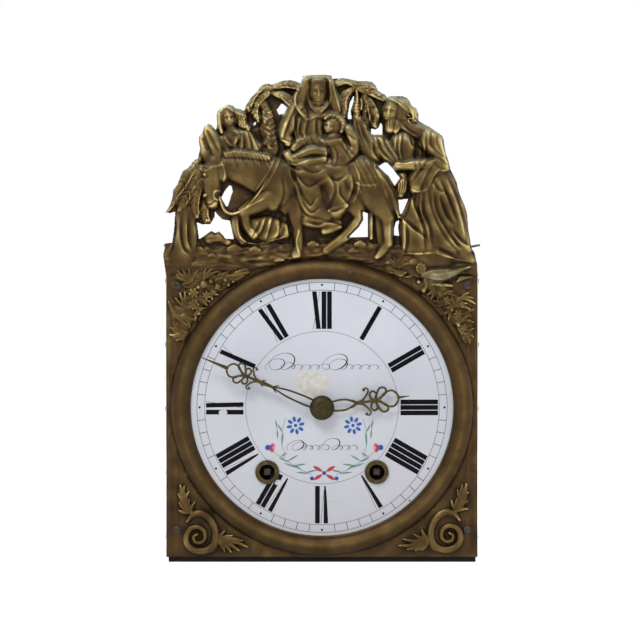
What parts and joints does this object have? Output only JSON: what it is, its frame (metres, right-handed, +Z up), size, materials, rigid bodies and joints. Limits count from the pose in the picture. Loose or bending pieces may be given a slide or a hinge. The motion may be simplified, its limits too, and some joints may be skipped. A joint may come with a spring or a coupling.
{
  "type": "comtoise clock",
  "caption": "Weight-driven comtoise clock head: iron cage with trains and bell, domed enamel dial, pierced hands and a pressed brass front with a figured fronton.",
  "frame": {"origin": "under the middle of the base plate, on the surface that the clock stands on", "axes": "+Z up, the dial faces -Y, +X to the right seen from the front"},
  "size_m": [0.2864, 0.1621, 0.436],
  "materials": {
    "pressed_brass": "pressed brass sheet, dark patina with rubbed ridges",
    "enamel": "glossy white enamel on copper",
    "cast_brass": "cast and filed brass",
    "black_iron": "forged and filed iron, dark and dry",
    "steel": "filed steel",
    "bell_metal": "cast bell metal, grey"
  },
  "bodies": {
    "cage": {"pressed_front": "pressed_brass", "enamel_dial": "enamel", "winding_eyelets": "cast_brass", "dial_clips": "cast_brass", "front_screws": "steel", "bottom_plate": "black_iron", "top_plate": "black_iron", "corner_pillars": "black_iron", "cage_nuts": "steel", "back_panel": "black_iron", "back_screws": "steel", "door_pins": "steel", "hook_staples": "black_iron", "front_bars": "black_iron", "back_bars": "black_iron", "suspension_cock": "cast_brass", "motion_studs": "steel", "rack_guides": "black_iron", "bell": "bell_metal", "bell_post": "black_iron", "bell_nut": "steel"},
    "left_door": {"left_door": "black_iron"},
    "right_door": {"right_door": "black_iron"},
    "left_door_hook": {"left_door_hook": "black_iron"},
    "right_door_hook": {"right_door_hook": "black_iron"},
    "going_great_wheel": {"going_great_wheel": "cast_brass"},
    "going_drum": {"going_drum": "steel"},
    "going_click": {"going_click": "steel"},
    "centre_arbor": {"centre_arbor": "steel", "centre_wheel": "cast_brass"},
    "third_arbor": {"third_arbor": "steel", "third_wheel": "cast_brass"},
    "escape_arbor": {"escape_arbor": "steel", "escape_wheel": "cast_brass"},
    "anchor": {"anchor_arbor": "steel", "anchor": "steel", "crutch": "steel"},
    "motion_drive": {"motion_drive_wheel": "cast_brass"},
    "minute_hand": {"cannon_wheel": "cast_brass", "minute_hand": "cast_brass", "hand_collet": "cast_brass", "hand_nut": "steel"},
    "minute_wheel": {"minute_wheel": "cast_brass"},
    "hour_hand": {"hour_wheel": "cast_brass", "hour_snail": "cast_brass", "hour_hand": "cast_brass"},
    "strike_great_wheel": {"strike_great_wheel": "cast_brass"},
    "strike_drum": {"strike_drum": "steel"},
    "strike_click": {"strike_click": "steel"},
    "pin_wheel": {"pin_wheel_arbor": "steel", "pin_wheel": "cast_brass"},
    "gathering_arbor": {"gathering_arbor": "steel", "stop_wheel": "cast_brass"},
    "fly": {"fly_arbor": "steel", "fly_vane": "cast_brass"},
    "hammer": {"hammer": "steel", "hammer_head": "steel"},
    "rack": {"rack": "steel"}
  },
  "joints": [
    {"name": "left_door_swing", "type": "hinge", "parent": "cage", "child": "left_door", "pos_m": [-0.1385, 0.065, 0], "axis": [0, 0, -1], "range_deg": [0, 110]},
    {"name": "right_door_swing", "type": "hinge", "parent": "cage", "child": "right_door", "pos_m": [0.1385, 0.065, 0], "axis": [0, 0, 1], "range_deg": [0, 110]},
    {"name": "left_hook_turn", "type": "hinge", "parent": "cage", "child": "left_door_hook", "pos_m": [-0.133, 0, 0.275], "axis": [0, 1, 0], "range_deg": [-100, 0]},
    {"name": "right_hook_turn", "type": "hinge", "parent": "cage", "child": "right_door_hook", "pos_m": [0.133, 0, 0.275], "axis": [0, -1, 0], "range_deg": [-100, 0]},
    {"name": "escape_turn", "type": "hinge", "parent": "cage", "child": "escape_arbor", "pos_m": [0, 0, 0.15617], "axis": [0, 1, 0], "continuous": true},
    {"name": "third_turn", "type": "hinge", "parent": "cage", "child": "third_arbor", "pos_m": [0.027, 0, 0.1529], "axis": [0, 1, 0], "continuous": true},
    {"name": "centre_turn", "type": "hinge", "parent": "cage", "child": "centre_arbor", "pos_m": [0.03022, 0, 0.12066], "axis": [0, 1, 0], "continuous": true},
    {"name": "going_great_turn", "type": "hinge", "parent": "cage", "child": "going_great_wheel", "pos_m": [0.0489, 0, 0.0806], "axis": [0, 1, 0], "continuous": true},
    {"name": "going_winding", "type": "hinge", "parent": "going_great_wheel", "child": "going_drum", "pos_m": [0.0489, 0, 0.0806], "axis": [0, 1, 0], "continuous": true},
    {"name": "going_click_lift", "type": "hinge", "parent": "going_great_wheel", "child": "going_click", "pos_m": [0.0489, 0, 0.1106], "axis": [0, 1, 0], "range_deg": [0, 15]},
    {"name": "anchor_rock", "type": "hinge", "parent": "cage", "child": "anchor", "pos_m": [0, 0, 0.18447], "axis": [0, 1, 0], "range_deg": [-3, 3]},
    {"name": "minute_turn", "type": "hinge", "parent": "cage", "child": "minute_hand", "pos_m": [0, 0, 0.1384], "axis": [0, 1, 0], "continuous": true},
    {"name": "hour_turn", "type": "hinge", "parent": "cage", "child": "hour_hand", "pos_m": [0, 0, 0.1384], "axis": [0, 1, 0], "continuous": true},
    {"name": "minute_wheel_turn", "type": "hinge", "parent": "cage", "child": "minute_wheel", "pos_m": [0, 0, 0.1144], "axis": [0, 1, 0], "continuous": true},
    {"name": "motion_drive_turn", "type": "hinge", "parent": "cage", "child": "motion_drive", "pos_m": [0.03022, 0, 0.12066], "axis": [0, 1, 0], "continuous": true},
    {"name": "fly_turn", "type": "hinge", "parent": "cage", "child": "fly", "pos_m": [-0.03403, 0, 0.17104], "axis": [0, 1, 0], "continuous": true},
    {"name": "gathering_turn", "type": "hinge", "parent": "cage", "child": "gathering_arbor", "pos_m": [-0.02803, 0, 0.14983], "axis": [0, 1, 0], "continuous": true},
    {"name": "pin_wheel_turn", "type": "hinge", "parent": "cage", "child": "pin_wheel", "pos_m": [-0.03022, 0, 0.12066], "axis": [0, 1, 0], "continuous": true},
    {"name": "strike_great_turn", "type": "hinge", "parent": "cage", "child": "strike_great_wheel", "pos_m": [-0.0489, 0, 0.0806], "axis": [0, 1, 0], "continuous": true},
    {"name": "strike_winding", "type": "hinge", "parent": "strike_great_wheel", "child": "strike_drum", "pos_m": [-0.0489, 0, 0.0806], "axis": [0, 1, 0], "continuous": true},
    {"name": "strike_click_lift", "type": "hinge", "parent": "strike_great_wheel", "child": "strike_click", "pos_m": [-0.0489, 0, 0.1106], "axis": [0, 1, 0], "range_deg": [0, 15]},
    {"name": "hammer_lift", "type": "hinge", "parent": "cage", "child": "hammer", "pos_m": [-0.05, 0, 0.195], "axis": [0, 1, 0], "range_deg": [-12, 0], "stiffness_Nm_per_rad": 0.05, "springref_deg": 17.19},
    {"name": "rack_fall", "type": "slide", "parent": "cage", "child": "rack", "axis": [0, 0, -1], "range_m": [0, 0.024]}
  ],
  "couplings": [
    {"joint": "third_turn", "follows": "escape_turn", "ratio": -0.13333},
    {"joint": "centre_turn", "follows": "escape_turn", "ratio": 0.016667},
    {"joint": "going_great_turn", "follows": "escape_turn", "ratio": -0.0013889},
    {"joint": "hour_turn", "follows": "minute_turn", "ratio": 0.083333},
    {"joint": "minute_wheel_turn", "follows": "minute_turn", "ratio": -0.33333},
    {"joint": "motion_drive_turn", "follows": "minute_turn", "ratio": -1},
    {"joint": "gathering_turn", "follows": "fly_turn", "ratio": -0.125},
    {"joint": "pin_wheel_turn", "follows": "fly_turn", "ratio": 0.0089286},
    {"joint": "strike_great_turn", "follows": "fly_turn", "ratio": -0.00074405}
  ]
}
